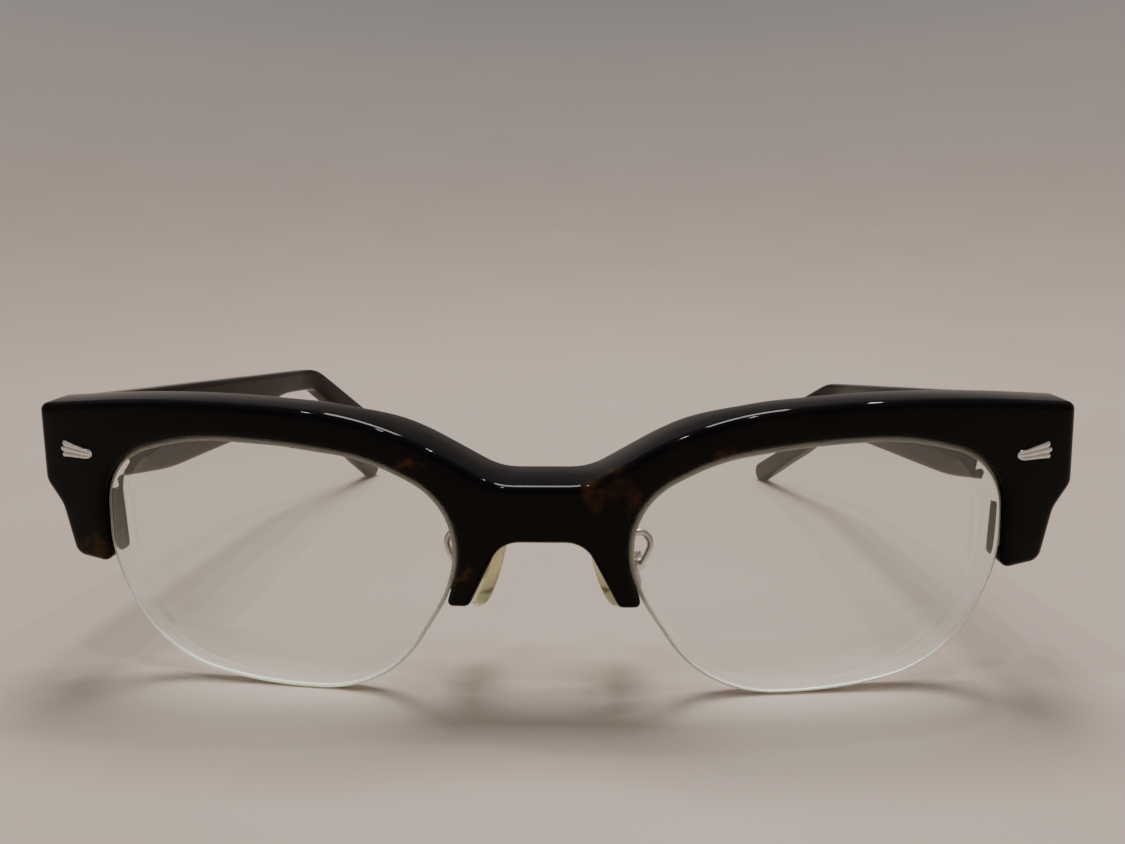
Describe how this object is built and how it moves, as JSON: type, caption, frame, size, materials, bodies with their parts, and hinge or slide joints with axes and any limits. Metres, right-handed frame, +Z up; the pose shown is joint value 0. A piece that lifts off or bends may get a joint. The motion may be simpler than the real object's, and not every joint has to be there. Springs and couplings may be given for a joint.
{
  "type": "eyeglasses frame",
  "caption": "Half-rim browline eyeglasses: thick dark acetate front, nylon-hung lenses, metal-armed nose pads and folding temples.",
  "frame": {"origin": "on the table, under the middle of the overall box", "axes": "+X to the wearer's left, +Y back along the temples, +Z up"},
  "size_m": [0.1424, 0.1551, 0.0418],
  "materials": {
    "front_acetate": "polished dark tortoise acetate",
    "temple_acetate": "satin dark brown acetate",
    "lens": "clear polished lens with frosted edge",
    "nylon": "clear nylon",
    "plaque_metal": "polished silver",
    "hinge_metal": "brushed nickel silver",
    "screw_metal": "turned steel",
    "core_metal": "drawn wire",
    "pad_metal": "polished silver",
    "pad_plastic": "clear yellowed silicone-like plastic"
  },
  "bodies": {
    "front_frame": {"front": "front_acetate", "lens_left": "lens", "lens_right": "lens", "lower_cord_left": "nylon", "lower_cord_right": "nylon", "upper_liner_left": "nylon", "upper_liner_right": "nylon", "front_plaque_left": "plaque_metal", "front_plaque_right": "plaque_metal", "hinge_front_half_left": "hinge_metal", "hinge_front_half_right": "hinge_metal", "hinge_screw_left": "screw_metal", "hinge_screw_right": "screw_metal", "pad_arm_left": "pad_metal", "pad_arm_right": "pad_metal", "pad_box_left": "pad_metal", "pad_box_right": "pad_metal", "pad_screw_left": "screw_metal", "pad_screw_right": "screw_metal"},
    "temple_left": {"temple_left": "temple_acetate", "core_wire_left": "core_metal", "hinge_temple_half_left": "hinge_metal"},
    "temple_right": {"temple_right": "temple_acetate", "core_wire_right": "core_metal", "hinge_temple_half_right": "hinge_metal"},
    "pad_left": {"nose_pad_left": "pad_plastic", "pad_insert_left": "pad_metal"},
    "pad_right": {"nose_pad_right": "pad_plastic", "pad_insert_right": "pad_metal"}
  },
  "joints": [
    {"name": "temple_left_fold", "type": "hinge", "parent": "front_frame", "child": "temple_left", "pos_m": [0.06359, -0.06249, 0.03537], "axis": [0, -0.061, 0.9981], "range_deg": [0, 86]},
    {"name": "temple_right_fold", "type": "hinge", "parent": "front_frame", "child": "temple_right", "pos_m": [-0.06359, -0.06249, 0.03537], "axis": [0, 0.061, -0.9981], "range_deg": [0, 77]},
    {"name": "pad_left_rock", "type": "hinge", "parent": "front_frame", "child": "pad_left", "pos_m": [0.01103, -0.06413, 0.01619], "axis": [0.4226, 0.9046, 0.0553], "range_deg": [-8, 8]},
    {"name": "pad_right_rock", "type": "hinge", "parent": "front_frame", "child": "pad_right", "pos_m": [-0.01103, -0.06413, 0.01619], "axis": [0.4226, -0.9046, -0.0553], "range_deg": [-8, 8]}
  ]
}
